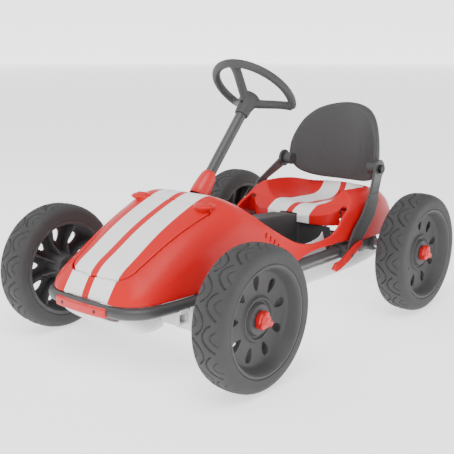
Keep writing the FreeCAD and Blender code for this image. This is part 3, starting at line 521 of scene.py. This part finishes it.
def window_cutters(centre, x_from, x_to):
    """Teardrop prisms, wide at the outer end, that cut the rim's windows."""
    outline = []
    for k in range(24):
        a = 2 * math.pi * k / 24
        radial = 61 + 13.5 * math.cos(a)
        width = (7.2 + 2.6 * math.cos(a)) * math.sin(a)
        outline.append((radial, width))
    objects = []
    for i in range(WINDOWS):
        turn = 2 * math.pi * i / WINDOWS + 0.2
        rings = []
        for x in (x_from, x_to):
            ring = []
            for radial, width in outline:
                y = radial * math.cos(turn) - width * math.sin(turn)
                z = radial * math.sin(turn) + width * math.cos(turn)
                ring.append(centre + Vector((x, y, z)))
            rings.append(ring)
        objects.append(loft("cutter", rings))
    return joined("cutters", objects)


def rim(name, centre, sign, bore):
    """Dished rim with windows, a stepped hub, and ribs between the windows on the inside."""
    profile = [(31.2, 94.9), (32.3, 93.5), (32.4, 91.0), (31.0, 89.2), (26, 86.5), (14, 82), (9.5, 79.5),
               (8, 76), (7.6, 60), (8, 42), (9.5, 38.5), (13, 36.5), (13.4, 34.5), (12.4, 33), (9.6, 31.5),
               (9.2, 29), (13.6, 27), (15.8, 25.5), (16.1, 24), (16.1, bore), (-30, bore), (-30, 22),
               (-28, 24), (2, 31), (3.6, 38), (3.6, 76), (0, 81), (-28, 87), (-31, 88), (-31.3, 94.9)]
    flipped = [(x * sign, r) for x, r in profile]
    body = turned(name, flipped, centre, 160)
    cut(body, window_cutters(centre, sign * -2, sign * 14))
    parts = [body]
    for i in range(WINDOWS):
        turn = 2 * math.pi * (i + 0.5) / WINDOWS + 0.2
        rings = []
        for radial, x in ((24, -26), (50, -10), (84, -24)):
            ring = []
            for deep, wide in ((x, -1.6), (x, 1.6), (4.5, 2.2), (4.5, -2.2)):
                y = radial * math.cos(turn) - wide * math.sin(turn)
                z = radial * math.sin(turn) + wide * math.cos(turn)
                ring.append(centre + Vector((sign * deep, y, z)))
            rings.append(ring)
        parts.append(loft("rib", rings))
    obj = joined(name, parts)
    shade(obj, 32)
    bevel(obj, 0.7, 40, 2)
    shade(obj, 50)
    return obj


def hub_cap(name, centre, sign):
    """Red axle cap: round base, smaller stepped disc and three finger lobes."""
    base = [(0, 0.5), (0, 14.2), (0.8, 15), (7.5, 15), (9, 14), (9.4, 12.4), (12.2, 12), (13.6, 10.6),
            (13.8, 6.6), (15.6, 6.2), (16.4, 5.2), (16.6, 0.5)]
    start = centre + Vector((sign * 16.4, 0, 0))
    cap = turned("cap", [(x * sign, r) for x, r in base], start, 64)
    parts = [cap]
    for i in range(3):
        a = math.radians(90 + 120 * i)
        lobe_at = start + Vector((0, 11.5 * math.cos(a), 11.5 * math.sin(a)))
        lobe = [(2.5, 0.4), (2.5, 5.2), (3.4, 6.0), (13.2, 5.6), (15.2, 4.4), (15.8, 0.4)]
        parts.append(turned("lobe", [(x * sign, r) for x, r in lobe], lobe_at, 40))
    obj = joined(name, parts)
    melt(obj, 0.55, 2)
    return obj


def wheels():
    for place, axle, bore in (("front", FRONT_AXLE, FRONT_BORE), ("rear", REAR_AXLE, REAR_BORE)):
        for side, sign in (("left", 1), ("right", -1)):
            centre = axle + Vector((sign * HALF_TRACK, 0, 0))
            body = "front_wheel_" + side if place == "front" else "rear_wheels"
            tag = "%s_%s" % (place, side)
            settle(tyre("tyre_" + tag, centre, sign), body, "tyre_foam", "tyre", "%s_tyre_%s" % (place, side))
            settle(rim("rim_" + tag, centre, sign, bore), body, "dark_plastic", "dark",
                   "%s_rim_%s" % (place, side))
            settle(hub_cap("hub_cap_" + tag, centre, sign), body, "red_plastic", "red",
                   "%s_hub_cap_%s" % (place, side))


# ---------------------------------------------------------------- body mouldings
def rim_bead(tree, side):
    """Rolled edge of the cockpit beside the driver, found on the side wall just below the edge."""
    path = []
    for p in curve_through([(0, y, z) for y, z in RIM_LINE], 4.0):
        hit = tree.ray_cast(Vector((side * 300, p.y, p.z - 3.5)) * MM, Vector((-side, 0, 0)))[0]
        if hit:
            path.append(Vector((hit.x / MM - side * 2.6, p.y, p.z - 1.6)))

    def section(i, share):
        swell = min(1.0, min(share, 1 - share) * 6)
        return 1.2 + 2.6 * swell, 1.2 + 2.2 * swell
    return swept("bead", path, section, Vector((0, 0, 1)))


def lid_blister(side, direction):
    """Half of the smooth bulge over one lid hinge, on one side of the seam."""
    centre = Vector((side * LID_HINGE.x, LID_HINGE.y, LID_HINGE.z))
    bulge = blob("blister", centre, (21.0, 20.0, 6.5))
    gap = 0.8 * direction.y
    return keep_side(bulge, Vector((0, LID_SEAM_Y - gap, 0)), direction)


def body_moulding():
    """The shell with a finger scoop at the nose, bolt pockets, rolled cockpit edge and hinge bulges."""
    obj = copy_of("body_shell", "body_moulding")
    tree = finder(obj)
    scoop = blob("scoop", LID_NOSE, (9, 6, 6))
    cut(obj, scoop)
    for side in (1, -1):
        cut(obj, blob("pocket", Vector((side * 103, 187, 178)), (4, 5, 4)))
    parts = [obj]
    for side in (1, -1):
        parts.append(rim_bead(tree, side))
        parts.append(lid_blister(side, Vector((0, -1, 0))))
    obj = joined("body_moulding", parts)
    melt(obj, 1.6, 5, keep=0.4)
    settle(obj, "chassis", "red_plastic", "striped", "body_shell")


def lid_moulding():
    """The lid, with its gap widened and its half of each hinge bulge."""
    obj = copy_of("hood_lid", "lid_moulding")
    for vertex in obj.data.vertices:
        vertex.co.x *= LID_SHRINK
        vertex.co.y = LID_MIDDLE_Y * MM + (vertex.co.y - LID_MIDDLE_Y * MM) * LID_SHRINK
    parts = [obj] + [lid_blister(side, Vector((0, 1, 0))) for side in (1, -1)]
    obj = joined("lid_moulding", parts)
    melt(obj, 1.1, 3, keep=0.4)
    settle(obj, "hood", "red_plastic", "striped", "hood_lid")


def floor_moulding():
    """Floor tray with its outer flange under the rails and the upstand inside the footwell."""
    obj = copy_of("floor_pan", "floor_moulding")
    parts = [obj]
    for side in (1, -1):
        flange = [Vector((side * FLANGE_X, y, FLANGE_Z)) for y in range(-140, 261, 20)]
        parts.append(swept("flange", flange, lambda i, share: (6.5, 1.6), Vector((0, 0, 1))))
        wall = []
        for p in curve_through([(0, y, z) for y, z in RIM_LINE[2:8]], 8.0):
            wall.append(Vector((side * UPSTAND_X, p.y, (TRAY_TOP_Z + min(p.z, UPSTAND_TOP_Z) - 6) / 2)))

        def upstand(i, share, wall=wall):
            return 1.6, wall[i].z - TRAY_TOP_Z
        parts.append(swept("upstand", wall, upstand, Vector((0, 0, 1))))
    obj = joined("floor_moulding", parts)
    melt(obj, 1.5, 3, keep=0.3)
    settle(obj, "chassis", "grey_plastic", "light", "floor_pan")


def softened(node, name, body, slot_name, look, voxel=1.2, steps=3, keep=0.5):
    """A CAD piece with its edges rounded as they leave the mould."""
    obj = copy_of(node, name)
    melt(obj, voxel, steps, keep)
    settle(obj, body, slot_name, look, node)


# ---------------------------------------------------------------- steering
def on_column(along, up=0.0):
    return COLUMN_POINT + COLUMN_DIR * along + COLUMN_UP * up


def on_steer_rim(degrees):
    a = math.radians(degrees)
    flat = ACROSS * math.cos(a) + COLUMN_UP * math.sin(a)
    return on_column(STEER_RIM_AT) + flat * STEER_RIM_RADIUS


def spoke(degrees, root_half, rim_half):
    """One spoke that rises from the hub to the rim and flares where it joins it."""
    a = math.radians(degrees)
    flat = ACROSS * math.cos(a) + COLUMN_UP * math.sin(a)
    path = curve_through([on_column(HUB_AT + 18), on_column(HUB_AT + 25) + flat * 22,
                          on_column(HUB_AT + 40) + flat * 58, on_steer_rim(degrees)], 3.0)

    def section(i, share):
        flare = max(0.0, (share - 0.72) / 0.28) ** 2
        wide = root_half + (rim_half - root_half) * flare
        return wide, 9.0 - 1.8 * share + 1.2 * flare
    return swept("spoke", path, section, COLUMN_DIR)


def steering_wheel():
    angles = np.linspace(STEER_RIM_END, 180 - STEER_RIM_END, 100)
    path = [on_steer_rim(a) for a in angles]
    length = math.radians(180 - 2 * STEER_RIM_END) * STEER_RIM_RADIUS

    def tube(i, share):
        inward = min(1.0, (min(share, 1 - share) * length + 0.4) / STEER_RIM_TUBE)
        r = STEER_RIM_TUBE * math.sqrt(1 - (1 - inward) ** 2)
        return r, r
    hub_profile = [(-12.6, 10.6), (-12.6, 13.6), (-11.2, 14.4), (4, 15.2), (20, 19.4), (29, 20.6),
                   (33.5, 20.0), (35.8, 17.6), (36.4, 14.0), (36.4, 0.4), (0.8, 0.4)]
    parts = [
        swept("ring", path, tube, COLUMN_DIR),
        turned("hub", hub_profile, on_column(HUB_AT), 64, axis=COLUMN_DIR),
        spoke(90, 10.0, 15.5),
        spoke(STEER_RIM_END + 3, 10.0, 12.0),
        spoke(180 - STEER_RIM_END - 3, 10.0, 12.0),
    ]
    obj = joined("steering_wheel_moulding", parts)
    melt(obj, 1.1, 14, keep=0.5)
    hole = [(0, 0.4), (0, 3.1), (14, 3.1), (14, 0.4)]
    cut(obj, turned("hole", hole, on_column(HUB_AT + 9, 8), 24, axis=COLUMN_UP))
    shade(obj, 78)
    settle(obj, "steering_upper", "dark_plastic", "dark", "steering_wheel")


def sleeve():
    """Bell that hides the column's fold joint, with a hollow skirt."""
    profile = [(0.2, 16.7), (0.2, 18.2), (1.0, 18.9), (13, 19.0), (24, 18.2), (36, 16.8), (45, 15.4),
               (50, 13.8), (53.2, 12.0), (54.6, 10.9), (54.6, 10.6), (26, 10.6), (25, 16.4)]
    obj = turned("sleeve_bell", profile, on_column(SLEEVE_FROM), 96, sharp=50, axis=COLUMN_DIR)
    settle(obj, "sleeve", "red_plastic", "red", "steering_sleeve")


# ---------------------------------------------------------------- seat back
def back_front(x, z):
    """Lengthwise place of the backrest's front face: the sides wrap forward round the child."""
    return BACK_FRONT_Y + (z - BACK_FOOT_Z) * BACK_LEAN - BACK_WRAP * (abs(x) / BACK_HALF) ** 2.2


def backrest():
    """Moulded panel whose edge is rolled backwards into a deep flange, with a boss at each pivot bolt."""
    line = BACK_LINE + [(-x, z) for x, z in BACK_LINE[-2:0:-1]] + [BACK_LINE[0]]
    edge = curve_through([(x, 0, z) for x, z in line], 4.0)[:-1]
    middle = Vector((0, 0, BACK_MIDDLE_Z))
    front = [(share, 0.0) for share in (0.03, 0.2, 0.4, 0.6, 0.75, 0.86, 0.91)]
    roll = [(0.945, 0.5), (0.972, 2.2), (0.99, 5.0), (0.997, 8.5), (1.0, 16), (0.997, 20), (0.985, 21.5),
            (0.97, 21), (0.962, 18), (0.955, 11), (0.94, 7.2), (0.91, BACK_WALL + 0.8)]
    back = [(share, BACK_WALL) for share in (0.86, 0.75, 0.6, 0.4, 0.2, 0.03)]
    rings = []
    for share, deep in front + roll + back:
        ring = []
        for p in edge:
            q = middle.lerp(p, share)
            ring.append(Vector((q.x, back_front(q.x, q.z) + deep, q.z)))
        rings.append(ring)
    parts = [loft("shell", rings)]
    for side in (1, -1):
        boss = [(0, 0.4), (0, 14), (20, 13.4), (22.3, 12), (22.3, 0.4)]
        start = Vector((side * 104, BACK_PIVOT.y, BACK_PIVOT.z))
        parts.append(turned("boss", [(side * x, r) for x, r in boss], start, 48))
        web = [start + Vector((side * x, y, 0)) for x, y in ((7, 4), (6, 14), (4, 26))]
        parts.append(swept("web", web, lambda i, share: (7.0, 13.0), Vector((0, 0, 1))))
    obj = joined("backrest_moulding", parts)
    melt(obj, 1.5, 6, keep=0.6)
    settle(obj, "backrest", "dark_plastic", "dark", "backrest")


# ---------------------------------------------------------------- studio
# Lengths here are in metres, angles in degrees and light power in watts
CAMERA_AT = (1.053, -1.277, 0.580)
CAMERA_DOWN = 13.137
CAMERA_TURN = 40.19
CAMERA_LENS = 66.18
SENSOR_WIDTH = 36.0
SKY_STRENGTH = 0.85
FLOOR_GLOW = 1.2
FLOOR_SIZE = 40
FLOOR_DROP = 0.0003
WALL_RADIUS = 15.0
WALL_HEIGHT = 3.0
# Name, place, power and size of each soft light, and the height both aim at
LIGHTS = [("key", (0.7, -1.0, 2.3), 40, 1.6), ("fill", (-1.8, -0.6, 1.7), 12, 2.0)]
AIM_HEIGHT = 0.2


def studio():
    """Camera, glowing white floor and backdrop ring, even sky and two soft lights."""
    scene = bpy.context.scene
    camera = bpy.data.cameras.new("camera")
    camera.lens = CAMERA_LENS
    camera.sensor_width = SENSOR_WIDTH
    holder = link(bpy.data.objects.new("camera", camera))
    holder.location = CAMERA_AT
    holder.rotation_euler = Euler((math.radians(90 - CAMERA_DOWN), 0.0, math.radians(CAMERA_TURN)))
    scene.camera = holder
    bpy.ops.mesh.primitive_plane_add(size=FLOOR_SIZE, location=(0, 0, -FLOOR_DROP))
    floor = bpy.context.object
    floor.name = "floor"
    mat, _, shader = base_material("floor", 0.9)
    shader.inputs["Base Color"].default_value = (0.92, 0.92, 0.92, 1)
    shader.inputs["Specular IOR Level"].default_value = 0.0
    shader.inputs["Emission Color"].default_value = (1, 1, 1, 1)
    shader.inputs["Emission Strength"].default_value = FLOOR_GLOW
    floor.data.materials.append(mat)
    bpy.ops.mesh.primitive_cylinder_add(vertices=128, radius=WALL_RADIUS, depth=WALL_HEIGHT,
                                        end_fill_type="NOTHING", location=(0, 0, WALL_HEIGHT / 2 - 0.001))
    wall = bpy.context.object
    wall.name = "backdrop"
    wall.data.materials.append(mat)
    world = bpy.data.worlds.new("world")
    world.use_nodes = True
    background = world.node_tree.nodes["Background"]
    background.inputs["Color"].default_value = (1, 1, 1, 1)
    background.inputs["Strength"].default_value = SKY_STRENGTH
    scene.world = world
    for name, place, power, size in LIGHTS:
        light = bpy.data.lights.new(name, "AREA")
        light.energy = power
        light.size = size
        lamp = link(bpy.data.objects.new(name, light))
        lamp.location = place
        aim = Vector(place) - Vector((0, 0, AIM_HEIGHT))
        lamp.rotation_euler = aim.to_track_quat("Z", "Y").to_euler()


dress_frame()
studio()
wheels()
body_moulding()
lid_moulding()
floor_moulding()
softened("nose_pan", "nose_belly", "chassis", "grey_plastic", "light", 1.4, 4, 0.4)
softened("drive_tunnel", "drive_housing", "chassis", "dark_plastic", "dark", 1.5, 4, 0.4)
for side in ("left", "right"):
    softened("kingpin_bracket_" + side, "kingpin_block_" + side, "chassis", "grey_plastic", "light", 1.0, 2)
    softened("back_arm_" + side, "back_strap_" + side, "back_carriage", "dark_frame", "coat", 1.0, 3)
    softened("seat_clamp_" + side, "rail_clamp_" + side, "back_carriage", "dark_plastic", "dark", 0.9, 2)
    softened("clamp_lever_" + side, "red_lever_" + side, "clamp_lever_" + side, "red_plastic", "red", 0.8, 4)
    softened("pedal_" + side, "pedal_block_" + side, "pedal_" + side, "dark_plastic", "dark", 1.0, 2)
steering_wheel()
sleeve()
backrest()
